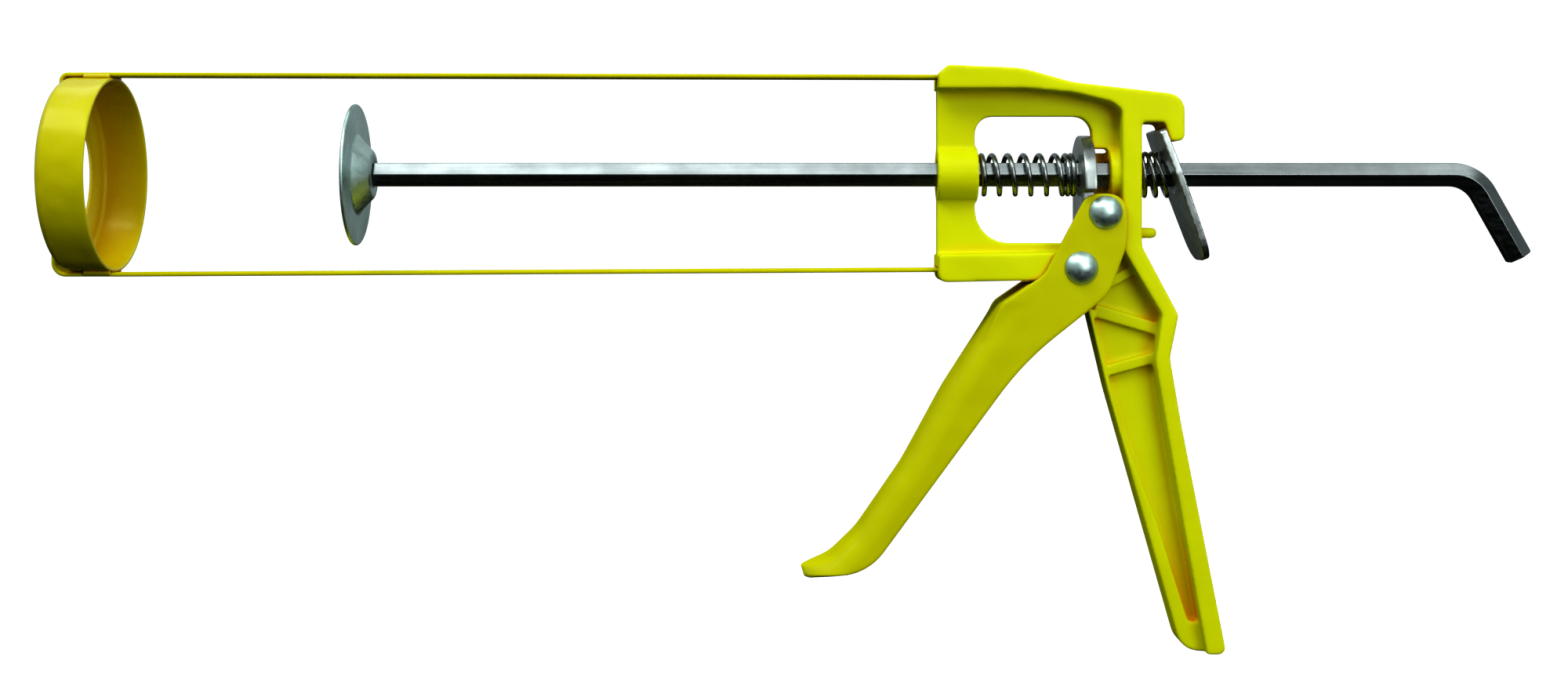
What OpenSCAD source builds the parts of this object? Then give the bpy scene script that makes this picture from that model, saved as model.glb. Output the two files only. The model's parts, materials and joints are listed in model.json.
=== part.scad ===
// Skeleton caulking gun for a 50 mm cartridge.
// Origin: centre of the cartridge cup's bore. +X runs back along the push rod, +Z is up.
// The side outlines are drawn as (x, z, corner radius) and extruded along Y.

/* [Cartridge cup] */
// Inside diameter of the cup that takes the cartridge's front end
cup_bore_d = 50.2; // [44:0.1:61]
// Wall of the cup and of its front flange
cup_wall = 1; // [0.8:0.1:2]
// Length of the cup behind its front flange
cup_depth = 12; // [8:0.1:16]
// Hole in the cup's front flange, for the nozzle
cup_hole_d = 31.6; // [24:0.1:38]

/* [Cradle strips] */
// Distance from the origin to the frame's front face
cradle_length = 227.6; // [190:0.1:280]
// Width of a strip
strip_w = 8; // [5:0.1:10]
// Thickness of a strip
strip_t = 1.1; // [0.8:0.1:1.4]
// How far a strip's end turns in over the cup's front flange
strip_hook = 9; // [4:0.1:10]
// How far the top strip closes in towards the rod by the time it reaches the frame
strip_taper_top = 0.6; // [0:0.1:1.5]
// How far the bottom strip closes in towards the rod
strip_taper_bottom = 1.3; // [0:0.1:1.5]
// Depth of the pockets that hold the strips in the frame
strip_seat = 14; // [8:0.1:18]

/* [Push rod and disc] */
// Hexagonal rod across its flats
rod_af = 6.35; // [5:0.05:7]
// Distance from the origin to the back of the disc at rest
disc_x = 72.4; // [60:0.1:90]
// Straight part of the rod behind the disc
rod_length = 288.8; // [280:0.1:360]
// Inside radius of the rod's bend
rod_bend_r = 7; // [5:0.1:10]
// Angle of the rod's bend
rod_bend_angle = 60.6; // [45:0.1:90]
// Straight tail after the bend
rod_tail = 19.5; // [10:0.1:30]
// Diameter of the thrust disc
disc_d = 38; // [32:0.1:46]
// Sheet that the disc is pressed from
disc_t = 1; // [0.8:0.1:1.5]
// Diameter of the disc's pressed boss at its foot
disc_boss_d = 21; // [18:0.1:26]
// Height of the disc's boss
disc_boss_h = 4.3; // [3:0.1:6]

/* [Frame and handle] */
// Depth of the frame's flanges, across the gun
frame_depth = 18; // [15:0.1:18.2]
// Thickness of the web between the flanges
web_t = 4; // [3:0.1:6]
// Front face to the rear face of the post behind the drive plate
frame_length = 53.7; // [53.7:0.1:60]
// Length of the handle below the rod's axis
handle_length = 127; // [122:0.1:160]
// Depth of the handle's front rib, across the gun
front_rib_depth = 10; // [6:0.1:14]
// Depth of the three short ribs in the handle
short_rib_depth = 8; // [5:0.1:12]
// Diameter of the bosses that guide the rod
rod_boss_d = 14.5; // [12:0.1:18]
// Running clearance round the rod's corners
rod_clearance = 0.1; // [0.02:0.01:0.2]

/* [Trigger] */
// Width of the trigger over its cheeks
trigger_w = 22; // [21.4:0.1:24]
// Sheet that the trigger is pressed from
trigger_t = 1.5; // [1:0.1:1.6]
// Length of the trigger below its pivot
trigger_reach = 81.2; // [70:0.1:100]
// Shank of the two rivets
rivet_d = 5; // [4:0.1:6]
// Domed rivet heads
rivet_head_d = 9; // [8:0.1:9.6]
// Height of the rivet heads
rivet_head_h = 2.6; // [1.5:0.1:3.5]
// Running clearance round the rivets
pin_clearance = 0.05; // [0.02:0.01:0.1]

/* [Plates and springs] */
// Thickness of the drive plate
drive_plate_t = 3.3; // [2:0.1:3.4]
// Radius of the drive plate's half-round head
drive_plate_r = 14.2; // [13:0.1:15.5]
// Width of the drive plate's leg
drive_leg_w = 18; // [12:0.1:18.4]
// Thickness of the release plate
release_plate_t = 2; // [1.4:0.1:2.2]
// Half width of the release plate at its widest
release_plate_r = 11.5; // [10:0.1:13]
// Length of the release plate
release_plate_l = 36.8; // [32:0.1:40]
// Lean of the release plate at rest
release_tilt = 20; // [15:0.5:21]
// Turn of the release plate until the return spring is solid
release_turn = 14; // [5:0.5:14]
// Wire of the drive spring
drive_wire_d = 1.4; // [1:0.05:1.6]
// Outside diameter of the drive spring
drive_spring_d = 11.8; // [11:0.1:13]
// Wire of the return spring
return_wire_d = 1.15; // [0.9:0.05:1.3]
// Outside diameter of the return spring
return_spring_d = 12.6; // [11.4:0.1:13]

/* [Hidden] */
$fn = 48;
yellow = [0.78, 0.82, 0.05];
paint = [0.8, 0.78, 0.05];
zinc = [0.66, 0.74, 0.74];
steel = [0.45, 0.48, 0.48];
gap = 0.3;
seat_gap = 0.05;

// Cup and strips
cup_r = cup_bore_d / 2 + cup_wall;
cup_back = 7.6;
cup_front = cup_back - cup_depth - cup_wall;
strip_z = cup_r + seat_gap + strip_t / 2;
strip_front_top = cup_front - seat_gap - strip_t / 2;
strip_front_bottom = strip_front_top - 2.1;
strip_end = cradle_length + strip_seat;
bottom_bend_r = 3.2;
top_bend_r = 1.7;
weld_d = 1.8;
weld_length = 7;

// Rod
rod_corner_d = rod_af / cos(30);
rod_bore_d = rod_corner_d + 2 * rod_clearance;
rod_start = disc_x + disc_boss_h;
rod_bend_x = rod_start + rod_length;
rod_path_r = rod_bend_r + rod_af / 2;
bend_steps = 8;
spigot_d = 4.5;
washer_t = 1;
spigot_length = disc_t + washer_t + 2 * seat_gap;
washer_d = 10;
peen_d = 7;
peen_h = 1.4;

// Frame, with its places measured from the front face and from the strips
front_x = cradle_length;
post_back = front_x + frame_length;
post_t = 5.2;
post_front = post_back - post_t;
top_z = strip_z + 2.3;
bottom_z = -strip_z - 1.9;
band_top_z = top_z - 6.2;
band_bottom_z = bottom_z + 7.3;
window_left = front_x + 10.2;
window_right = post_back - 12.3;
window_top = band_top_z - 7.2;
window_bottom = band_bottom_z + 3;
boss_proud = 0.7;
drive_plate_front = window_right - gap - drive_plate_t;
foot_z = -handle_length;

// Rivets: the drive pin bears on the back of the drive plate's leg
drive_pin_x = window_right - gap + 0.1 + rivet_d / 2;
drive_pin_z = -10.1;
pivot_x = drive_pin_x - 6.4;
pivot_z = bottom_z + 3.9;
cheek_z = drive_pin_z + 5;
shoulder_z = cheek_z + 0.8;
leg_bottom_z = max(window_bottom + 1.7, drive_pin_z - 6.5);
slot_r = rivet_d / 2 + 0.6;
cheek_gap = trigger_w / 2 - trigger_t;
spine_top_z = bottom_z - 0.4;
far_cheek_setback = 3.2;

// Release plate: hinge line at the middle of its top edge, under the frame's hook
hinge_x = post_back + 5.1;
hinge_z = 11.9;
lip_x = hinge_x + 1.15;
lip_bottom_z = 8.8;
lip_shift = (hinge_z - lip_bottom_z) * tan(release_tilt);
hook_back = post_back + 11.3;
released = release_tilt - release_turn;
release_drop = hinge_z * (cos(released) / cos(release_tilt) - 1);
rod_need = rod_corner_d / 2 + rod_clearance;
release_hole_r = max((rod_need + release_plate_t / 2 * sin(release_tilt)) / cos(release_tilt),
                     (rod_need + release_drop + release_plate_t / 2 * sin(released)) / cos(released));

// Springs
drive_turns = [0.75, 5, 2.25];
return_turns = 3;
coil_steps = 14;

// Outline helpers. A vertex is [x, z, corner radius].
function unit(v) = v / norm(v);
function left_of(v) = [-v.y, v.x];
function heading(a, b) = unit([b.x - a.x, b.y - a.y]);

// Points of one rounded corner; the radius never takes more than half of a side
function corner(a, b, c, n) = b.z == 0 ? [[b.x, b.y]] : let(
    u = heading(b, a), v = heading(b, c), half = acos(u * v) / 2,
    side = min(norm([a.x - b.x, a.y - b.y]), norm([c.x - b.x, c.y - b.y])),
    r = min(b.z, 0.49 * side * tan(half)),
    mid = [b.x, b.y] + unit(u + v) * r / sin(half),
    s = [b.x, b.y] + u * r / tan(half) - mid, e = [b.x, b.y] + v * r / tan(half) - mid,
    start = atan2(s.y, s.x), turn = (atan2(e.y, e.x) - start + 540) % 360 - 180)
    [for (i = [0:n]) mid + r * [cos(start + turn * i / n), sin(start + turn * i / n)]];

function rounded(p, n = 5) =
    [for (i = [0:len(p) - 1]) each corner(p[(i + len(p) - 1) % len(p)], p[i], p[(i + 1) % len(p)], n)];

// A line moved sideways by d (to its left if d is positive), with its corner radii adjusted
function shifted(p, d) = [for (i = [0:len(p) - 1]) let(
    u = i > 0 ? heading(p[i - 1], p[i]) : heading(p[0], p[1]),
    v = i < len(p) - 1 ? heading(p[i], p[i + 1]) : u,
    m = left_of(u) + left_of(v), turn = sign(u.x * v.y - u.y * v.x))
    [p[i].x + m.x * d * 2 / (m * m), p[i].y + m.y * d * 2 / (m * m),
     p[i].z == 0 ? 0 : max(0.1, p[i].z - turn * d)]];
function reversed(p) = [for (i = [len(p) - 1:-1:0]) p[i]];
function band(p, t) = concat(shifted(p, t / 2), reversed(shifted(p, -t / 2)));

// Extrudes a side outline by depth, centred on the gun's middle plane
module slab(depth) rotate([90, 0, 0]) linear_extrude(depth, center = true) children();
module rod_along_x(x0, x1, d) translate([x0, 0, 0]) rotate([0, 90, 0]) cylinder(h = x1 - x0, d = d);
module pin_across(x, z, length, d)
    translate([x, 0, z]) rotate([90, 0, 0]) cylinder(h = length, d = d, center = true);

// Cartridge cup
module front_cup() color(paint) translate([cup_front, 0, 0]) rotate([0, 90, 0])
    rotate_extrude($fn = 96) polygon(rounded([
        [cup_hole_d / 2, 0, 0.4], [cup_r, 0, 2], [cup_r, cup_depth + cup_wall, 0.3],
        [cup_bore_d / 2, cup_depth + cup_wall, 0], [cup_bore_d / 2, cup_wall, 0],
        [cup_hole_d / 2, cup_wall, 0]]));

// Strips: a flat strap that hooks over the cup's front flange and runs back into the frame
function strip_line(side, front, hook_r, taper) = [
    [front, side * (strip_z - strip_hook), 0],
    [front, side * strip_z, hook_r],
    [cup_back + 1, side * strip_z, 40],
    [strip_end, side * (strip_z - taper), 0]];
module strip(side, front, hook_r, taper)
    slab(strip_w) polygon(rounded(band(strip_line(side, front, hook_r, taper), strip_t)));
module top_strip() color(paint) strip(1, strip_front_top, top_bend_r, strip_taper_top);
module bottom_strip() color(paint) strip(-1, strip_front_bottom, bottom_bend_r, strip_taper_bottom);

// Weld beads along both edges of each strip, on the cup's crest
module cup_welds() color(paint) for (side = [-1, 1], edge = [-1, 1]) difference() {
    translate([cup_back - 0.3 - weld_length, edge * (strip_w / 2 + 0.1), side * (cup_r - 0.1)])
        rotate([0, 90, 0]) cylinder(h = weld_length, d = weld_d, $fn = 24);
    rod_along_x(cup_front - 1, cup_back + 1, 2 * cup_r);
    translate([cup_front, -strip_w / 2, side > 0 ? cup_r - 1 : -cup_r - 2])
        cube([cup_depth + 5, strip_w, 3]);
}

// Push rod: hexagonal bar, flats up and down, peened over at the disc and bent at the back
module hex_section() rotate(30) circle(d = rod_corner_d, $fn = 6);
module hex_bar(turn, back, front)
    translate([rod_bend_x + rod_path_r * sin(turn), 0, -rod_path_r * (1 - cos(turn))])
        rotate([0, 90 + turn, 0]) translate([0, 0, -back]) linear_extrude(back + front) hex_section();
// Part of the bend between two turns, seen from the bend's centre
module bend_sector(from, to) slab(4 * rod_af) polygon([
    [rod_bend_x, -rod_path_r],
    [rod_bend_x + 3 * rod_path_r * sin(from), 3 * rod_path_r * cos(from) - rod_path_r],
    [rod_bend_x + 3 * rod_path_r * sin(to), 3 * rod_path_r * cos(to) - rod_path_r]]);
module push_rod() color(steel) {
    step = rod_bend_angle / bend_steps;
    difference() {
        hex_bar(0, rod_length, rod_af);
        bend_sector(step / 2, step / 2 + 60);
    }
    for (i = [1:bend_steps - 1]) intersection() {
        hex_bar(i * step, rod_af, rod_af);
        bend_sector((i - 0.5) * step, (i + 0.5) * step);
    }
    difference() {
        hex_bar(rod_bend_angle, rod_af, rod_tail);
        bend_sector(rod_bend_angle - step / 2 - 60, rod_bend_angle - step / 2);
    }
    rod_along_x(rod_start - spigot_length - peen_h, rod_start + 2, spigot_d);
    rod_along_x(rod_start - spigot_length - peen_h, rod_start - spigot_length, peen_d);
}

// Thrust disc: pressed sheet, flat rim and a blunt boss towards the rod
module thrust_disc() color(zinc) translate([disc_x - seat_gap, 0, 0]) rotate([0, 90, 0]) difference() {
    boss_r = disc_boss_d / 2;
    face_r = boss_r - 0.8 * disc_boss_h;
    rotate_extrude($fn = 96) polygon([
        [0, disc_boss_h], [face_r, disc_boss_h], [boss_r, 0], [disc_d / 2, 0],
        [disc_d / 2, -disc_t], [boss_r - disc_t / 2, -disc_t],
        [face_r - disc_t / 2, disc_boss_h - disc_t], [0, disc_boss_h - disc_t]]);
    translate([0, 0, -1]) cylinder(h = disc_boss_h + 2, d = spigot_d + 2 * pin_clearance);
}
module disc_washer() color(zinc) difference() {
    washer_back = rod_start - disc_t - 1.5 * seat_gap;
    rod_along_x(washer_back - washer_t + 0.5 * seat_gap, washer_back, washer_d);
    rod_along_x(washer_back - 3, washer_back + 1, spigot_d + 2 * pin_clearance);
}

// Frame and handle, one moulding
module frame_outline() polygon(rounded([
    [front_x, top_z - 2.4, 1], [front_x + 2.4, top_z, 1.5],
    [front_x + 21.8, top_z - 0.8, 25], [front_x + 35.4, top_z - 4.6, 25],
    [hook_back, 21, 4.5], [hook_back, lip_bottom_z, 1.6],
    [lip_x + lip_shift, lip_bottom_z, 0.5], [lip_x - 0.1, hinge_z + 1.9, 1.1],
    [post_back, hinge_z + 1.9, 1], [post_back, -19, 4], [post_back + 9.7, -37.2, 3],
    [post_back + 7.4, -48.5, 4], [post_back + 10.3, -65.5, 80],
    [post_back + 22.4, foot_z, 1.8], [post_back + 11.2, foot_z + 0.2, 6],
    [post_back - 8.7, -57, 60], [post_back - 15.7, bottom_z + 0.8, 2],
    [front_x, bottom_z, 2]]));

// What the near and far flanges leave open: the web's flat parts
module frame_recess() polygon(rounded([
    [front_x - 5, band_top_z, 0], [front_x + 22.4, band_top_z, 20], [front_x + 35.7, band_top_z - 1.2, 15],
    [front_x + 46, band_top_z - 3.7, 6], [post_front, band_top_z - 6, 2], [post_front, -19.5, 4],
    [post_front + 10.5, -37.2, 1.5], [post_front + 8.7, -49.5, 5], [post_front + 15.9, -91.6, 80],
    [post_front + 22.9, foot_z - 3, 0], [post_front - 50, foot_z - 3, 0], [post_front - 50, -55, 0],
    [post_front - 19, bottom_z - 6, 0],
    [post_front - 15.5, bottom_z, 0], [post_front - 12, band_bottom_z + 0.7, 2],
    [front_x - 5, band_bottom_z, 0]]));

// Web round the window, with room for the drive pin's swing behind it
module frame_window() {
    polygon(rounded([
        [window_left, window_top, 4.7], [window_right, window_top, 4.7],
        [window_right, window_bottom, 1.6], [window_left, window_bottom, 9]]));
    translate([drive_pin_x, drive_pin_z]) circle(r = slot_r);
    translate([window_right - 2, drive_pin_z - slot_r]) square([drive_pin_x - window_right + 2, 2 * slot_r]);
}

// Front rib of the handle, which closes the recess at the foot
function rib_line() = [
    [post_back - 13.3, -34, 0], [post_back - 8.7, -52, 30], [post_back - 4.6, -68, 30],
    [post_back + 4.6, -92.4, 30], [post_back + 13.1, foot_z + 8, 1.5], [post_back + 30, foot_z + 8, 0]];
module handle_front_rib() intersection() {
    frame_outline();
    polygon(rounded(concat([[post_back - 40, -30.5, 0], [post_back - 14.5, -30.5, 0]], rib_line(),
                           [[post_back + 30, foot_z - 5, 0], [post_back - 40, foot_z - 5, 0]])));
}
module short_rib(a, b, t) polygon(rounded(band([[a.x, a.y, 0], [b.x, b.y, 0]], t)));
module short_ribs() intersection() {
    frame_outline();
    union() {
        short_rib([post_back - 12, -36.2], [post_back + 5.5, -41.4], 3.4);
        short_rib([post_back - 8, -52.2], [post_back + 5, -48.6], 3);
        short_rib([post_back - 12, -31.5], [post_back - 1, -25], 2.6);
    }
}

module strip_pocket(side, taper) {
    mouth_x = cradle_length - 1;
    mouth_z = strip_z - taper * (mouth_x - cup_back - 1) / (strip_end - cup_back - 1);
    slab(strip_w + 2 * seat_gap) polygon(rounded(band(
        [[mouth_x, side * mouth_z, 0], [strip_end + seat_gap, side * (strip_z - taper), 0]],
        strip_t + 2 * seat_gap)));
}

module frame_handle() color(yellow) difference() {
    union() {
        slab(frame_depth) difference() { frame_outline(); frame_recess(); }
        slab(web_t) difference() { frame_outline(); frame_window(); }
        slab(front_rib_depth) handle_front_rib();
        slab(short_rib_depth) short_ribs();
        rod_along_x(front_x, window_left + boss_proud, rod_boss_d);
        rod_along_x(window_right + gap, post_back, rod_boss_d);
        pin_across(pivot_x, pivot_z, frame_depth + gap, 11);
        translate([post_back - 1, 0, -15.6]) rotate([0, 90, 0]) cylinder(h = 5, d = 3);
        translate([post_back + 4, 0, -15.6]) sphere(d = 3);
    }
    rod_along_x(front_x - 1, hook_back + 1, rod_bore_d);
    pin_across(pivot_x, pivot_z, frame_depth + 10, rivet_d + 2 * pin_clearance);
    // pocket on the near side, where the rod is bare between the window and the post
    translate([window_right - 1, -frame_depth, drive_pin_z + slot_r - 0.5])
        cube([5.4, frame_depth + rod_bore_d / 2 + 0.2, 6.9 - drive_pin_z - slot_r + 0.5]);
    slab(frame_depth + 2) translate([window_right - 2, drive_pin_z - slot_r])
        square([drive_pin_x - window_right + 2, 2 * slot_r]);
    strip_pocket(1, strip_taper_top);
    strip_pocket(-1, strip_taper_bottom);
}

// Trigger: a channel with its spine to the front, open behind, with two cheeks over the frame
function trigger_front() = [
    [pivot_x - 73.9, pivot_z - 0.985 * trigger_reach, 0],
    [pivot_x - 66.3, pivot_z - 0.951 * trigger_reach, 12],
    [pivot_x - 59, pivot_z - 0.865 * trigger_reach, 25],
    [pivot_x - 46.6, pivot_z - 0.643 * trigger_reach, 60],
    [pivot_x - 35.6, pivot_z - 0.394 * trigger_reach, 60],
    [pivot_x - 21.2, pivot_z - 9.6, 7],
    [pivot_x - 9.7, pivot_z - 1.7, 6],
    [pivot_x + 1.6, cheek_z, 5]];
module trigger_outline() polygon(rounded(concat(trigger_front(), [
    [drive_pin_x + 5.9, cheek_z, 6],
    [drive_pin_x + 5.9, drive_pin_z - 8, 15],
    [pivot_x + 7.4, pivot_z - 7, 12],
    [pivot_x - 15, pivot_z - 24.8, 80],
    [pivot_x - 56.5, pivot_z - trigger_reach, 23],
    [pivot_x - 72.2, pivot_z - trigger_reach, 0.8]]), 8));
module trigger_hollow() polygon(rounded(concat(shifted(trigger_front(), -trigger_t), [
    [pivot_x + 40, cheek_z - trigger_t, 0], [pivot_x + 40, pivot_z - trigger_reach - 20, 0],
    [pivot_x - 60, pivot_z - trigger_reach - 20, 0]])));
module trigger() color(paint) difference() {
    slab(trigger_w) trigger_outline();
    slab(2 * cheek_gap) trigger_hollow();
    translate([pivot_x - 60, -cheek_gap, spine_top_z]) cube([100, 2 * cheek_gap, 60]);
    // the far cheek is narrower in front, clear of the window
    translate([0, trigger_w / 2, 0]) slab(trigger_w) intersection() {
        difference() {
            translate([pivot_x - 30, spine_top_z + 3]) square([50, 40]);
            translate([far_cheek_setback, 0]) trigger_outline();
        }
        translate([pivot_x - 30, spine_top_z + 3]) square([30 + far_cheek_setback, 40]);
    }
    pin_across(pivot_x, pivot_z, trigger_w + 2, rivet_d + 2 * pin_clearance);
    pin_across(drive_pin_x, drive_pin_z, trigger_w + 2, rivet_d + 2 * pin_clearance);
}

// Rivets: a shank with a domed head on each cheek
module dome(d, h) {
    r = (d * d / 4 + h * h) / (2 * h);
    intersection() {
        translate([0, 0, h - r]) sphere(r = r, $fn = 64);
        cylinder(h = h + 1, d = d);
    }
}
module rivet(x, z) color(zinc) {
    pin_across(x, z, trigger_w + 2 * seat_gap, rivet_d);
    for (side = [-1, 1]) translate([x, side * (trigger_w / 2 + seat_gap), z])
        rotate([side * -90, 0, 0]) dome(rivet_head_d, rivet_head_h);
}
module pivot_rivet() rivet(pivot_x, pivot_z);
module drive_rivet() rivet(drive_pin_x, drive_pin_z);

// Drive plate: half-round head round the rod, and a leg down between the cheeks
module drive_plate() color(steel) translate([drive_plate_front, 0, 0]) rotate([90, 0, 90])
    linear_extrude(drive_plate_t) difference() {
        union() {
            intersection() {
                translate([0, shoulder_z + 0.6]) circle(r = drive_plate_r, $fn = 96);
                translate([-30, shoulder_z + 0.6]) square([60, 60]);
            }
            translate([-drive_plate_r, shoulder_z]) square([2 * drive_plate_r, 0.6]);
            translate([-drive_leg_w / 2, leg_bottom_z]) square([drive_leg_w, shoulder_z - leg_bottom_z + 1]);
        }
        circle(d = rod_bore_d);
    }

// Release plate, drawn upright from its hinge line and then leaned back
module release_outline() polygon(rounded([
    [-release_plate_r + 1.2, 0, 1.5], [release_plate_r - 1.2, 0, 1.5],
    [release_plate_r, -12, 6], [release_plate_r - 1, -25, 20],
    [0.8 * release_plate_r, -release_plate_l, 9], [-0.8 * release_plate_r, -release_plate_l, 9],
    [-release_plate_r + 1, -25, 20], [-release_plate_r, -12, 6]]));
module release_plate() color(steel) translate([hinge_x, 0, hinge_z]) rotate([0, -release_tilt, 0])
    translate([-release_plate_t / 2, 0, 0]) rotate([90, 0, 90]) linear_extrude(release_plate_t) difference() {
        release_outline();
        translate([0, -hinge_z / cos(release_tilt)]) circle(r = release_hole_r);
    }

// Springs: a wire swept along points [x, turn angle] at one coil radius, 8 sides
module wire(path, r, wire_d) {
    rings = [for (p = path) for (j = [0:7]) let(a = 45 * j, out = r + wire_d / 2 * cos(a))
        [p.x + wire_d / 2 * sin(a), out * cos(p.y), out * sin(p.y)]];
    last = len(path) - 1;
    polyhedron(rings, concat(
        [[for (j = [0:7]) j]], [[for (j = [7:-1:0]) last * 8 + j]],
        [for (i = [0:last - 1]) for (j = [0:7]) let(k = (j + 1) % 8)
            [i * 8 + j, (i + 1) * 8 + j, (i + 1) * 8 + k, i * 8 + k]]), convexity = 10);
}
function coil_x(s, open, closed) = s < drive_turns[0] ? s * closed
    : s < drive_turns[0] + drive_turns[1] ? drive_turns[0] * closed + (s - drive_turns[0]) * open
    : (s - drive_turns[1]) * closed + drive_turns[1] * open;
module drive_spring() color(zinc) {
    start = window_left + boss_proud + seat_gap + drive_wire_d / 2;
    travel = drive_plate_front - seat_gap - drive_wire_d / 2 - start;
    closed = drive_wire_d * 1.03;
    open = (travel - (drive_turns[0] + drive_turns[2]) * closed) / drive_turns[1];
    turns = drive_turns[0] + drive_turns[1] + drive_turns[2];
    wire([for (i = [0:ceil(turns * coil_steps)]) let(s = min(turns, i / coil_steps))
        [start + coil_x(s, open, closed), 360 * s]], (drive_spring_d - drive_wire_d) / 2, drive_wire_d);
}
// The return spring fans out from the post to the leaning plate
function plate_front_x(z) = hinge_x - release_plate_t / 2 / cos(release_tilt)
    + (hinge_z - z) * tan(release_tilt);
module return_spring() color(zinc) {
    r = (return_spring_d - return_wire_d) / 2;
    start = post_back + seat_gap + return_wire_d / 2;
    steps = return_turns * coil_steps;
    wire([for (i = [0:steps]) let(turn = 360 * i / coil_steps + 90,
            end = plate_front_x(r * sin(turn)) - return_wire_d * 0.62 - seat_gap)
        [start + (end - start) * i / steps, turn]], r, return_wire_d);
}

frame_handle();
front_cup();
cup_welds();
top_strip();
bottom_strip();
push_rod();
disc_washer();
thrust_disc();
drive_spring();
drive_plate();
trigger();
pivot_rivet();
drive_rivet();
release_plate();
return_spring();
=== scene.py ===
"""Caulking gun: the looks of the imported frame. Lengths are in metres, +X back along the rod, +Z up."""
import json
import math
import bmesh
import bpy
from mathutils import Matrix, Vector


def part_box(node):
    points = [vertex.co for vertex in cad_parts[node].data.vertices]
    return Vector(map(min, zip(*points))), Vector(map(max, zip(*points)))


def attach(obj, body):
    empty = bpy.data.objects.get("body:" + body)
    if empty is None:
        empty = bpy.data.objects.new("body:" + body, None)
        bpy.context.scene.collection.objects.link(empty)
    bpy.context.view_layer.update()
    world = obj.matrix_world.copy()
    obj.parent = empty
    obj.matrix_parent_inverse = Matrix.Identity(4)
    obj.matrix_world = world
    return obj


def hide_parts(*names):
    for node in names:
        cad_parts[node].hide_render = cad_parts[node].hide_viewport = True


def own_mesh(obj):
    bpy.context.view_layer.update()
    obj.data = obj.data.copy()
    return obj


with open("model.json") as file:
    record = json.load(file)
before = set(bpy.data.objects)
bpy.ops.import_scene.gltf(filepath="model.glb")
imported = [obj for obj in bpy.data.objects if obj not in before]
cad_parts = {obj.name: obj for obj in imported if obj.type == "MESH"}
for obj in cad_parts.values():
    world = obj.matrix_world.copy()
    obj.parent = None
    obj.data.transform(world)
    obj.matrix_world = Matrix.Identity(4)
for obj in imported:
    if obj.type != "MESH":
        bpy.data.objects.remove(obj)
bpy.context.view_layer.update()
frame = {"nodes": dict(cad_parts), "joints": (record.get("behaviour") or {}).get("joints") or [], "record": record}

MM = 0.001
NODES = frame["nodes"]

# Camera: level, at right angles to the rod, close enough that the cup and the disc are seen from behind
camera = bpy.data.objects.new("camera", bpy.data.cameras.new("camera"))
bpy.context.scene.collection.objects.link(camera)
camera.location = (0.1867, -0.532, -0.00884)
camera.rotation_euler = (math.pi / 2, 0, 0)
camera.data.lens = 45.5
camera.data.sensor_width = 36
camera.data.shift_y = -0.085
camera.data.clip_start = 0.01
bpy.context.scene.camera = camera


# ---------- materials ----------
def tree(name):
    """A new node material, with its nodes, its links and its shader."""
    mat = bpy.data.materials.new(name)
    mat.use_nodes = True
    nodes = mat.node_tree.nodes
    return mat, nodes, mat.node_tree.links, nodes["Principled BSDF"]


def noise(nodes, links, scale, detail=2.0, stretch=None):
    """Noise in object space, in cycles per metre; stretch shortens it along some axes."""
    coords = nodes.new("ShaderNodeTexCoord")
    tex = nodes.new("ShaderNodeTexNoise")
    tex.inputs["Scale"].default_value = scale
    tex.inputs["Detail"].default_value = detail
    if stretch is None:
        links.new(coords.outputs["Object"], tex.inputs["Vector"])
    else:
        mapping = nodes.new("ShaderNodeMapping")
        mapping.inputs["Scale"].default_value = stretch
        links.new(coords.outputs["Object"], mapping.inputs["Vector"])
        links.new(mapping.outputs["Vector"], tex.inputs["Vector"])
    return tex.outputs["Fac"]


def ramp(nodes, links, fac, stops):
    """A colour ramp; stops are (place, colour)."""
    node = nodes.new("ShaderNodeValToRGB")
    elements = node.color_ramp.elements
    while len(elements) < len(stops):
        elements.new(0.5)
    for element, (place, colour) in zip(elements, stops):
        element.position = place
        element.color = (*colour, 1)
    links.new(fac, node.inputs["Fac"])
    return node.outputs["Color"]


def levels(nodes, links, fac, low, high, into_low=0.3, into_high=0.7):
    """Maps a value from into_low..into_high to low..high."""
    node = nodes.new("ShaderNodeMapRange")
    node.inputs["From Min"].default_value = into_low
    node.inputs["From Max"].default_value = into_high
    node.inputs["To Min"].default_value = low
    node.inputs["To Max"].default_value = high
    links.new(fac, node.inputs["Value"])
    return node.outputs["Result"]


def bump(nodes, links, height, distance, strength=1.0, under=None):
    """Relief of the given depth in metres, laid over another bump's normal if there is one."""
    node = nodes.new("ShaderNodeBump")
    node.inputs["Strength"].default_value = strength
    node.inputs["Distance"].default_value = distance
    links.new(height, node.inputs["Height"])
    if under is not None:
        links.new(under, node.inputs["Normal"])
    return node.outputs["Normal"]


def occlusion(nodes, links, distance):
    """1 on open faces, less in corners and recesses narrower than the distance."""
    node = nodes.new("ShaderNodeAmbientOcclusion")
    node.samples = 8
    node.inputs["Distance"].default_value = distance
    return node.outputs["AO"]


def mixed(nodes, links, fac, a, b):
    """Mixes two colours; each input is a socket or a plain value."""
    node = nodes.new("ShaderNodeMix")
    node.data_type = "RGBA"
    for socket, value in ((node.inputs[0], fac), (node.inputs[6], a), (node.inputs[7], b)):
        if isinstance(value, bpy.types.NodeSocket):
            links.new(value, socket)
        else:
            socket.default_value = value if isinstance(value, float) else (*value, 1)
    return node.outputs[2]


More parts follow.
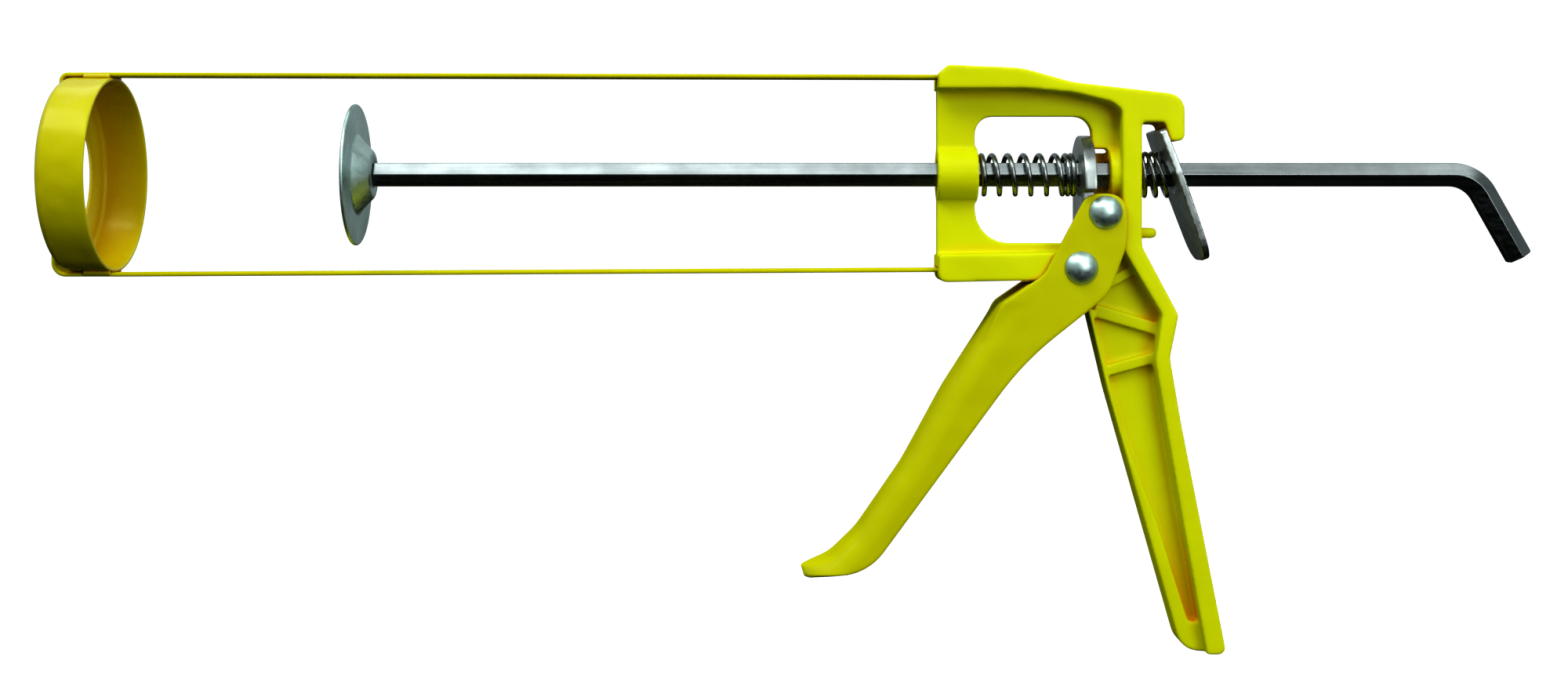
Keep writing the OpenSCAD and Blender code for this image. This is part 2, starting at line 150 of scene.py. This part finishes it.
def yellow(name, light, dark, painted_shade_and_fleck_colour, rough, peel, flecks, reach=0.006, open_at=0.85, gloss=0.14):
    """Yellow plastic or paint: uneven tone, painted orange-brown shade in corners and recesses, and a slightly
    rippled gloss.
    """
    mat, nodes, links, shader = tree(name)
    tone = ramp(nodes, links, noise(nodes, links, 45, 3), [(0.3, dark), (0.7, light)])
    # Painted shade: where the occlusion finds faces nearer than reach, the colour turns towards the orange-brown
    # painted shade colour
    shade = levels(nodes, links, occlusion(nodes, links, reach), 0.9, 0.0, 0.3, open_at)
    colour = mixed(nodes, links, shade, tone, painted_shade_and_fleck_colour)
    # Flecks: random specks in the same orange-brown as the painted shade
    specks = levels(nodes, links, noise(nodes, links, 2300, 2), 0.0, flecks, 0.66, 0.74)
    links.new(mixed(nodes, links, specks, colour, painted_shade_and_fleck_colour), shader.inputs["Base Color"])
    links.new(levels(nodes, links, noise(nodes, links, 160, 4), rough - 0.06, rough + 0.09),
              shader.inputs["Roughness"])
    wave = bump(nodes, links, noise(nodes, links, 95, 1), 0.0012, peel)
    links.new(bump(nodes, links, noise(nodes, links, 900, 3), 0.0001, 0.25, wave), shader.inputs["Normal"])
    shader.inputs["IOR"].default_value = 1.45
    shader.inputs["Specular IOR Level"].default_value = gloss
    shader.inputs["Specular Tint"].default_value = (1, 0.97, 0.12, 1)
    return mat


def metal(name, light, dark, rough, stretch, grain, streaks=0.35, spangle=0.0):
    """Metal with drawn or rolled streaks along the axis that stretch shortens."""
    mat, nodes, links, shader = tree(name)
    streak = noise(nodes, links, 700, 3, stretch)
    cloud = noise(nodes, links, 120, 4)
    tone = ramp(nodes, links, cloud, [(0.35, dark), (0.65, light)])
    if spangle:
        coords = nodes.new("ShaderNodeTexCoord")
        cells = nodes.new("ShaderNodeTexVoronoi")
        cells.inputs["Scale"].default_value = spangle
        links.new(coords.outputs["Object"], cells.inputs["Vector"])
        grey = nodes.new("ShaderNodeSeparateColor")
        links.new(cells.outputs["Color"], grey.inputs["Color"])
        facet = levels(nodes, links, grey.outputs[0], 0.0, 0.4, 0.0, 1.0)
        tone = mixed(nodes, links, facet, tone, dark)
    lines = levels(nodes, links, streak, 0.0, streaks, 0.45, 0.8)
    links.new(mixed(nodes, links, lines, tone, dark), shader.inputs["Base Color"])
    links.new(levels(nodes, links, streak, rough - 0.07, rough + 0.1), shader.inputs["Roughness"])
    links.new(bump(nodes, links, streak, grain, 0.5), shader.inputs["Normal"])
    shader.inputs["Metallic"].default_value = 1.0
    return mat


# Yellow finishes: light and dark colours, the painted shade colour for corners and recesses, roughness, ripple,
# flecks, and how far the painted shade reaches into recesses
PLASTIC_TONES = ((0.53, 0.60, 0.0), (0.48, 0.53, 0.0), (0.62, 0.20, 0.0), 0.34, 0.3, 0.05, 0.006, 0.8)
PLASTIC = yellow("plastic", *PLASTIC_TONES)
PLASTIC_WALLS = yellow("plastic_walls", *PLASTIC_TONES, gloss=0.0)
PAINT_TONES = ((0.42, 0.44, 0.0), (0.38, 0.39, 0.0), (0.36, 0.20, 0.0), 0.24, 0.4, 0.04, 0.006, 0.85)
PAINT = yellow("trigger_paint", *PAINT_TONES)
PAINT_WALLS = yellow("trigger_paint_walls", *PAINT_TONES, gloss=0.0)
# The cup's painted shade reaches 45 mm, so its inside is painted orange-brown shade
CUP_PAINT = yellow("cup_paint", (0.45, 0.44, 0.0), (0.40, 0.37, 0.0), (0.40, 0.15, 0.0), 0.27, 0.8, 0.03,
                   reach=0.045, open_at=1.0, gloss=0.3)
STRIP_PAINT = yellow("strip_paint", (0.46, 0.46, 0.0), (0.42, 0.40, 0.0), (0.42, 0.16, 0.0), 0.3, 0.3, 0.03,
                     reach=0.002, gloss=0.0)
# Metals: light and dark colours, roughness, streak direction and streak depth
ROD = metal("rod_steel", (0.155, 0.18, 0.18), (0.10, 0.12, 0.12), 0.24, (0.02, 1, 1), 0.00003)
ZINC = metal("zinc", (0.56, 0.76, 0.73), (0.36, 0.52, 0.50), 0.40, (1, 1, 1), 0.00003, 0.2, 380)
PLATE = metal("plate_steel", (0.30, 0.35, 0.34), (0.17, 0.20, 0.19), 0.33, (1, 1, 0.15), 0.00005, 0.5)
SPRING = metal("spring_steel", (0.22, 0.26, 0.25), (0.12, 0.14, 0.13), 0.26, (1, 1, 1), 0.00001, 0.3)


# ---------- mesh helpers ----------
def dress(obj, mat, body=None, node=None):
    """Gives a piece its material, and lets it ride on its body in place of a CAD node."""
    obj.data.materials.clear()
    obj.data.materials.append(mat)
    if body:
        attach(obj, body)
    if node:
        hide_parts(node)
    return obj


def moulded(node, voxel, rounds, mat, body):
    """A copy of a CAD node with its edges and inner corners rounded, as moulding or pressing leaves them."""
    source = NODES[node]
    obj = bpy.data.objects.new(node + "_shaped", source.data.copy())
    bpy.context.scene.collection.objects.link(obj)
    remesh = obj.modifiers.new("remesh", "REMESH")
    remesh.mode = "VOXEL"
    remesh.voxel_size = voxel
    smooth = obj.modifiers.new("smooth", "SMOOTH")
    smooth.factor = 0.5
    smooth.iterations = rounds
    bpy.context.view_layer.update()
    done = bpy.data.meshes.new_from_object(obj.evaluated_get(bpy.context.evaluated_depsgraph_get()))
    obj.modifiers.clear()
    obj.data = done
    done.polygons.foreach_set("use_smooth", [True] * len(done.polygons))
    return dress(obj, mat, body, node)


def mesh_object(name, bm):
    """Turns a bmesh into a smooth-shaded object with its normals outwards."""
    bmesh.ops.recalc_face_normals(bm, faces=bm.faces)
    mesh = bpy.data.meshes.new(name)
    bm.to_mesh(mesh)
    bm.free()
    mesh.polygons.foreach_set("use_smooth", [True] * len(mesh.polygons))
    obj = bpy.data.objects.new(name, mesh)
    bpy.context.scene.collection.objects.link(obj)
    return obj


def bridge(bm, a, b):
    """A band of faces between two rings of as many points."""
    for i in range(len(a)):
        j = (i + 1) % len(a)
        bm.faces.new((a[i], a[j], b[j], b[i]))


def lathe(name, profile, x0, steps=128):
    """Turns (radius, x) points about X: a closed loop, or a line that meets the axis at both ends."""
    bm = bmesh.new()
    rings = []
    for r, x in profile:
        if r < 1e-7:
            rings.append([bm.verts.new((x0 + x, 0, 0))])
            continue
        rings.append([bm.verts.new((x0 + x, r * math.cos(2 * math.pi * k / steps),
                                    r * math.sin(2 * math.pi * k / steps))) for k in range(steps)])
    pairs = list(zip(rings, rings[1:]))
    if len(rings[0]) > 1:
        pairs.append((rings[-1], rings[0]))
    for a, b in pairs:
        if len(a) > 1 and len(b) > 1:
            bridge(bm, a, b)
        else:
            tip, ring = (a[0], b) if len(a) == 1 else (b[0], a)
            for k in range(steps):
                bm.faces.new((tip, ring[k], ring[(k + 1) % steps]))
    return mesh_object(name, bm)


def arc(centre, r, start, end, steps=6):
    """Points of an arc in a (radius, x) profile; angles in degrees."""
    return [(centre[0] + r * math.cos(math.radians(start + (end - start) * k / steps)),
             centre[1] + r * math.sin(math.radians(start + (end - start) * k / steps)))
            for k in range(steps + 1)]


def sweep(name, path, section):
    """Sweeps a closed section along points. Each path item is (point, across, up); the ends are capped."""
    bm = bmesh.new()
    rings = [[bm.verts.new(p + across * u + up * v) for u, v in section(i)]
             for i, (p, across, up) in enumerate(path)]
    for a, b in zip(rings, rings[1:]):
        bridge(bm, a, b)
    bm.faces.new(list(reversed(rings[0])))
    bm.faces.new(rings[-1])
    return mesh_object(name, bm)


def wire(name, points, d, sides=12):
    """A round wire along points, with its ends rounded off."""
    frames = []
    for i, p in enumerate(points):
        along = (points[min(i + 1, len(points) - 1)] - points[max(i - 1, 0)]).normalized()
        across = along.cross(Vector((1, 0, 0))).normalized()
        frames.append((p, across, along.cross(across).normalized()))
    last = len(points) - 1

    def section(i):
        r = d / 2 * (0.72 if i in (0, last) else 1)
        return [(r * math.cos(2 * math.pi * k / sides), r * math.sin(2 * math.pi * k / sides))
                for k in range(sides)]
    return sweep(name, frames, section)


def sheet_piece(name, line, half_width, t):
    """A flat strip along points in the side plane, with rounded edges; half_width across, t thick."""
    edge = t * 0.45
    last = len(line) - 1
    frames = []
    for i, p in enumerate(line):
        along = (line[min(i + 1, last)] - line[max(i - 1, 0)]).normalized()
        frames.append((p, Vector((0, 1, 0)), along.cross(Vector((0, 1, 0))).normalized()))
    loop = []
    for cu, cv, start in ((1, 1, 0), (-1, 1, 90), (-1, -1, 180), (1, -1, 270)):
        for k in range(5):
            a = math.radians(start + 22.5 * k)
            loop.append((cu * (half_width - edge) + edge * math.cos(a),
                         cv * (t / 2 - edge) + edge * math.sin(a)))

    def section(i):
        # the cut ends are a little rounded
        narrow, thin = (0.985, 0.7) if i in (0, last) else (1, 1)
        return [(u * narrow, v * thin) for u, v in loop]
    return sweep(name, frames, section)


def bend_points(start, corner, end, r, steps=10):
    """Straight, rounded corner, straight."""
    u, v = (start - corner).normalized(), (end - corner).normalized()
    half = math.acos(max(-1, min(1, u.dot(v)))) / 2
    setback = r / math.tan(half)
    a, b = corner + u * setback, corner + v * setback
    mid = corner + (u + v).normalized() * r / math.sin(half)
    return [mid + (a - mid).lerp(b - mid, k / steps).normalized() * r for k in range(steps + 1)]


# ---------- cup and strips ----------
cup_lo, cup_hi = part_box("front_cup")
cup_r = cup_hi.z
cup_bore_r = frame["record"]["mounts"][0]["dims"]["r_mm"] * MM
wall = cup_r - cup_bore_r
cup_len = cup_hi.x - cup_lo.x
hole_r = 15.8 * MM
lip = 0.42 * MM
front_r, inner_r = 2.2 * MM, 1.2 * MM
cup = lathe("cup", [(hole_r, lip)] + arc((hole_r + lip, lip), lip, 180, 270, 3)
            + arc((cup_r - front_r, front_r), front_r, -90, 0, 8)
            + [(cup_r, cup_len * k / 6) for k in range(2, 6)]
            + arc((cup_r - lip, cup_len - lip), lip, 0, 90, 3)
            + arc((cup_bore_r + lip, cup_len - lip), lip, 90, 180, 3)
            + [(cup_bore_r, cup_len * k / 6) for k in range(5, 1, -1)]
            + arc((cup_bore_r - inner_r, wall + inner_r), inner_r, 0, -90, 6)
            + [(hole_r, wall)], cup_lo.x, steps=192)
dress(cup, CUP_PAINT, "frame", "front_cup")

# Each strip runs over the cup and turns in over its front; it closes in a little towards the frame
for node, side, hook_r, taper in (("top_strip", 1, 1.7 * MM, 0.6 * MM),
                                  ("bottom_strip", -1, 3.2 * MM, 1.3 * MM)):
    lo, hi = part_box(node)
    t = 1.1 * MM
    hook = 9.55 * MM
    crest = side * (cup_r + 0.05 * MM + t / 2)
    leg_x = lo.x + t / 2
    leg_end = hi.z - hook if side > 0 else lo.z + hook
    back = Vector((hi.x, 0, crest - side * taper))
    corner = Vector((leg_x, 0, crest))
    start = Vector((leg_x, 0, leg_end))
    straight = Vector((cup_hi.x + MM, 0, crest))
    points = [start.lerp(corner, k / 6) for k in range(0, 4)] + bend_points(start, corner, straight, hook_r)
    points += [straight.lerp(back, k / 24) for k in range(0, 25)]
    strip = sheet_piece(node + "_shaped", points, 4 * MM, t)
    dress(strip, STRIP_PAINT, "frame", node)

moulded("cup_welds", 0.15 * MM, 4, CUP_PAINT, "frame")

# ---------- frame and trigger ----------
frame_shell = moulded("frame_handle", 0.4 * MM, 12, PLASTIC, "frame")
trigger = moulded("trigger", 0.3 * MM, 5, PAINT, "trigger")

# The trigger's front line in the side plane, from its tip to above the knee: mm from the pivot, and bend radii
TRIGGER_FRONT = ((-73.9, -80.0), (-66.3, -77.2), (-59.0, -70.2), (-46.6, -52.2), (-35.6, -32.0), (-21.2, -9.6),
                 (-15, -5.3))
TRIGGER_BENDS = (12, 25, 60, 60, 7)
EDGE_R = 6.0 * MM
SHEET = 1.5 * MM
TONGUE_R = 11 * MM
# The rounding starts this far below the pivot and is full this much lower down
ROUND_BELOW, ROUND_FADE = 9 * MM, 10 * MM


def front_line(pivot):
    corners = [pivot + Vector((x * MM, 0, z * MM)) for x, z in TRIGGER_FRONT]
    line = [corners[0]]
    for before, corner, after, r in zip(corners, corners[1:], corners[2:], TRIGGER_BENDS):
        line += bend_points(before, corner, after, r * MM, 8)
    return line + [corners[-1]]


def nearest_on(line, point):
    """Distance to a line in the side plane, the nearest point of it, and its normal there, into the channel."""
    best = None
    for a, b in zip(line, line[1:]):
        ab = b - a
        along = max(0, min(1, ((point.x - a.x) * ab.x + (point.z - a.z) * ab.z) / (ab.x ** 2 + ab.z ** 2)))
        foot = a + ab * along
        far = math.hypot(point.x - foot.x, point.z - foot.z)
        if best is None or far < best[0]:
            best = (far, foot, Vector((ab.z, 0, -ab.x)).normalized())
    return best


def press_trigger(obj, pivot):
    """Bends the channel's front edges to a large radius and rounds the tongue's corners."""
    front = front_line(pivot)
    lo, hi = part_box("trigger")
    half_w, tip_x = hi.y, lo.x
    mesh = obj.data
    normals = [v.normal.copy() for v in mesh.vertices]
    for v in mesh.vertices:
        if v.co.z > pivot.z - ROUND_BELOW:
            continue
        depth, foot, inward = nearest_on(front, v.co)
        side = math.copysign(1, v.co.y)
        over = half_w - abs(v.co.y)
        if depth < EDGE_R and over < EDGE_R:
            du, dv = EDGE_R - depth, EDGE_R - over
            reach = math.hypot(du, dv)
            outward = Vector((-inward.x * du, side * dv, -inward.z * du))
            target = EDGE_R if outward.dot(normals[v.index]) > 0 else EDGE_R - SHEET
            fade = max(0, min(1, (pivot.z - ROUND_BELOW - v.co.z) / ROUND_FADE))
            if reach > target:
                pull = 1 + (target / reach - 1) * fade
                v.co.y = side * (half_w - EDGE_R + dv * pull)
                v.co.x = foot.x + inward.x * (EDGE_R - du * pull)
                v.co.z = foot.z + inward.z * (EDGE_R - du * pull)
        if v.co.x < tip_x + TONGUE_R:
            reach = (tip_x + TONGUE_R - v.co.x) / TONGUE_R
            limit = half_w - TONGUE_R + TONGUE_R * math.sqrt(max(0, 1 - reach * reach))
            v.co.y *= min(1, limit / half_w)
    settled = bmesh.new()
    settled.from_mesh(mesh)
    for k in range(6):
        bmesh.ops.smooth_vert(settled, verts=settled.verts, factor=0.5,
                              use_axis_x=True, use_axis_y=True, use_axis_z=True)
    settled.to_mesh(mesh)
    settled.free()


def joint(name):
    return next(j for j in frame["joints"] if j["name"] == name)


def dull_walls(obj, mat):
    """The walls between a piece's two broad sides are duller than the sides."""
    obj.data.materials.append(mat)
    for face in obj.data.polygons:
        if abs(face.normal.y) < 0.5:
            face.material_index = 1


press_trigger(trigger, Vector(joint("trigger_pull")["pos_m"]))
dull_walls(frame_shell, PLASTIC_WALLS)
dull_walls(trigger, PAINT_WALLS)

# ---------- plates ----------
moulded("drive_plate", 0.22 * MM, 12, PLATE, "drive_plate")
moulded("release_plate", 0.22 * MM, 5, PLATE, "release_plate")


# ---------- rivets, disc and washer ----------
def rivet(node, body):
    """A shank across the gun with a domed head at each end, each with a softened rim."""
    lo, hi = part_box(node)
    centre = (lo + hi) / 2
    r, head = (hi.x - lo.x) / 2, 2.6 * MM
    shank, base = 2.5 * MM, (hi.y - lo.y) / 2 - head
    ball = (r * r + head * head) / (2 * head)
    soft = 0.12 * MM
    dome = []
    for k in range(13):
        a = math.asin(r / ball) * (1 - k / 12)
        dome.append((ball * math.sin(a), base + head - ball * (1 - math.cos(a))))
    dome[0] = (dome[0][0] * 0.985, dome[0][1] + soft)
    half = [(shank, base), (r - soft, base)] + dome
    profile = [(a, -b) for a, b in reversed(half)] + half
    obj = lathe(node + "_shaped", profile, 0, steps=96)
    obj.data.transform(Matrix.Translation(centre) @ Matrix.Rotation(math.pi / 2, 4, "Z"))
    dress(obj, ZINC, body, node)


rivet("pivot_rivet", "frame")
rivet("drive_rivet", "trigger")

disc_lo, disc_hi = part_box("thrust_disc")
disc_r, sheet = disc_hi.z, 1.0 * MM
boss_h = disc_hi.x - disc_lo.x - sheet
hole = 2.3 * MM
# From the hole over the boss's crown and foot to the rolled rim, and back along the inside
disc = lathe("disc", [(hole, boss_h), (hole, boss_h + sheet)]
             + arc((5.6 * MM, boss_h - 0.6 * MM), 1.6 * MM, 90, 55, 6)
             + [(8.9 * MM, 2.6 * MM)] + arc((11.2 * MM, 2.4 * MM), 1.4 * MM, 215, 270, 6)
             + arc((disc_r - sheet / 2, sheet / 2), sheet / 2, 90, -90, 8)
             + arc((10.6 * MM, 1.4 * MM), 1.4 * MM, 270, 220, 6)
             + [(7.9 * MM, 1.9 * MM)] + arc((5.2 * MM, boss_h - 1.0 * MM), 1.0 * MM, 50, 90, 5),
             disc_lo.x, steps=160)
dress(disc, ZINC, "plunger", "thrust_disc")

washer_lo, washer_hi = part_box("disc_washer")
washer_t = washer_hi.x - washer_lo.x
corner_x, corner_r = 4.75 * MM, 0.25 * MM
washer = lathe("washer", [(hole, 0), (hole, washer_t)]
               + arc((corner_x, washer_t - corner_r), corner_r, 90, 0, 3)
               + arc((corner_x, corner_r), corner_r, 0, -90, 3), washer_lo.x, steps=64)
dress(washer, ZINC, "plunger", "disc_washer")


# ---------- push rod ----------
rod_lo, rod_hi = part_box("push_rod")
af = 6.35 * MM
bend = math.radians(60.6)
bend_r = 7 * MM + af / 2
tail = 19.5 * MM
rod_corner = 0.45 * MM
neck_x = disc_hi.x + 0.05 * MM
bend_x = rod_hi.x - bend_r * math.sin(bend) - tail * math.cos(bend) - af / 2 * math.sin(bend)


def hexagon(scale=1.0):
    """Six flats with slightly rounded corners, flats up and down."""
    away = (af / 2 - rod_corner) / math.cos(math.radians(30))
    points = []
    for k in range(6):
        a = math.radians(60 * k)
        for turn in (-22, -8, 8, 22):
            b = a + math.radians(turn)
            points.append(((away * math.cos(a) + rod_corner * math.cos(b)) * scale,
                           (away * math.sin(a) + rod_corner * math.sin(b)) * scale))
    return points


# Each place is (point, across, up, scale of the section); the two cut ends are chamfered
across, up = Vector((0, 1, 0)), Vector((0, 0, 1))
path = [(Vector((neck_x, 0, 0)), across, up, 0.9), (Vector((neck_x + 0.5 * MM, 0, 0)), across, up, 1.0)]
path += [(Vector((neck_x + (bend_x - neck_x) * k / 40, 0, 0)), across, up, 1.0) for k in range(1, 41)]
for k in range(1, 25):
    a = bend * k / 24
    point = Vector((bend_x + bend_r * math.sin(a), 0, -bend_r * (1 - math.cos(a))))
    path.append((point, across, Vector((math.sin(a), 0, math.cos(a))), 1.0))
end, along = path[-1][0], Vector((math.cos(bend), 0, -math.sin(bend)))
for reach, scale in ((0.5, 1.0), (0.98, 1.0), (1.0, 0.9)):
    path.append((end + along * tail * reach, across, path[-1][2], scale))
rod = sweep("rod", [p[:3] for p in path], lambda i: hexagon(path[i][3]))
weighted = rod.modifiers.new("normals", "WEIGHTED_NORMAL")
weighted.weight = 80
dress(rod, ROD, "rod", "push_rod")

# The spigot through disc and washer, and its hammered head
spigot_r = 2.25 * MM
spigot_end = neck_x - rod_lo.x + 0.3 * MM
peen = lathe("peen", [(0, 0), (2.4 * MM, 0.05 * MM), (3.3 * MM, 0.5 * MM), (3.5 * MM, 1.1 * MM),
                      (3.4 * MM, 1.4 * MM), (spigot_r, 1.4 * MM), (spigot_r, spigot_end), (0, spigot_end)],
             rod_lo.x, steps=48)
dress(peen, ROD, "rod")

# ---------- springs ----------
TURN_STEPS = 28

# Drive spring: closed coils at both ends, and five open ones between them
lo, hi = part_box("drive_spring")
wire_d = 1.4 * MM
r = 5.2 * MM
closed = wire_d * 1.03
drive_start, run = lo.x + wire_d / 2, hi.x - lo.x - wire_d
pitch = (run - 3 * closed) / 5


def drive_x(turn):
    """Where the wire's middle is along the rod after so many turns of eight."""
    ends = min(turn, 0.75) + max(0, turn - 5.75)
    return drive_start + ends * closed + (turn - ends) * pitch


points = []
for k in range(TURN_STEPS * 8 + 1):
    a = 2 * math.pi * k / TURN_STEPS
    points.append(Vector((drive_x(k / TURN_STEPS), r * math.cos(a), r * math.sin(a))))
drive = wire("drive_coil", points, wire_d)
dress(drive, SPRING, "frame", "drive_spring")
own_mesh(drive)

# Return spring: three turns that fan out to follow the leaning release plate
lo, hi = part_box("return_spring")
wire_d = 1.15 * MM
r = 5.725 * MM
hinge = Vector(joint("release_press")["pos_m"])
lean = math.tan(math.radians(20))
start_x = lo.x + wire_d / 2
last = 3 * TURN_STEPS
points = []
for k in range(last + 1):
    a = 2 * math.pi * k / TURN_STEPS + math.pi / 2
    z = r * math.sin(a)
    end_x = hinge.x - 1.07 * MM + (hinge.z - z) * lean - wire_d * 0.62 - 0.05 * MM
    points.append(Vector((start_x + (end_x - start_x) * k / last, r * math.cos(a), z)))
back_coil = wire("return_coil", points, wire_d)
dress(back_coil, SPRING, "frame", "return_spring")
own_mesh(back_coil)

# ---------- stage and lights ----------
# The surroundings are dark below and bright above, which gives the steel its dark lower flats
world = bpy.data.worlds.new("studio")
bpy.context.scene.world = world
world.use_nodes = True
sky = world.node_tree
coords = sky.nodes.new("ShaderNodeTexCoord")
split = sky.nodes.new("ShaderNodeSeparateXYZ")
sky.links.new(coords.outputs["Generated"], split.inputs["Vector"])
height = levels(sky.nodes, sky.links, split.outputs["Z"], 0.0, 1.0, -1.0, 1.0)
tone = ramp(sky.nodes, sky.links, height,
            [(0.40, (0.008, 0.01, 0.01)), (0.49, (0.5, 0.58, 0.58)), (0.66, (1, 1.1, 1.1))])
sky.links.new(tone, sky.nodes["Background"].inputs["Color"])
sky.nodes["Background"].inputs["Strength"].default_value = 0.42

backdrop_mat, nodes, links, shader = tree("backdrop")
grain = noise(nodes, links, 6, 2)
links.new(ramp(nodes, links, grain, [(0.2, (0.93, 0.93, 0.93)), (0.8, (0.96, 0.96, 0.96))]),
          shader.inputs["Base Color"])
shader.inputs["Roughness"].default_value = 0.9
shader.inputs["Emission Color"].default_value = (1, 1, 1, 1)
shader.inputs["Emission Strength"].default_value = 0.8

# A round floor that curves up into a wall all round, so that every view has the same ground
floor_z, wall_r, wall_top, cove_r = -0.36, 3.2, 3.2, 0.9
profile = [(wall_r - cove_r, floor_z)]
for a in range(10, 91, 10):
    a = math.radians(a)
    profile.append((wall_r - cove_r + cove_r * math.sin(a), floor_z + cove_r * (1 - math.cos(a))))
profile.append((wall_r, wall_top))
bm = bmesh.new()
steps = 96
rows = [[bm.verts.new((0.19 + r * math.cos(2 * math.pi * k / steps), r * math.sin(2 * math.pi * k / steps), z))
         for k in range(steps)] for r, z in profile]
bm.faces.new(rows[0])
for a, b in zip(rows, rows[1:]):
    bridge(bm, a, b)
backdrop = mesh_object("backdrop", bm)
backdrop.data.materials.append(backdrop_mat)
backdrop.visible_glossy = False
backdrop.visible_diffuse = False


def softbox(name, place, aim, size, power):
    """A rectangular lamp in watts at a place, turned to a point."""
    light = bpy.data.lights.new(name, "AREA")
    light.shape = "RECTANGLE"
    light.size, light.size_y = size
    light.energy = power
    obj = bpy.data.objects.new(name, light)
    bpy.context.scene.collection.objects.link(obj)
    obj.location = place
    obj.rotation_euler = (Vector(aim) - Vector(place)).to_track_quat("-Z", "Y").to_euler()
    obj.visible_camera = False


# The key lights the rod's upper flat along its length, and key_end carries that on over the tail
softbox("key", (-0.1, -0.42, 0.72), (0.1, 0, 0), (1.25, 0.34), 9.5)
softbox("key_end", (0.78, -0.42, 0.72), (0.3, 0, 0), (0.5, 0.34), 1.7)
softbox("fill", (0.5, -0.5, 0.14), (0.27, 0, -0.03), (0.3, 0.3), 1.9)
softbox("top", (0.2, 0.35, 0.8), (0.2, 0, 0), (1.2, 0.3), 2.5)

bpy.context.scene.view_settings.view_transform = "Standard"
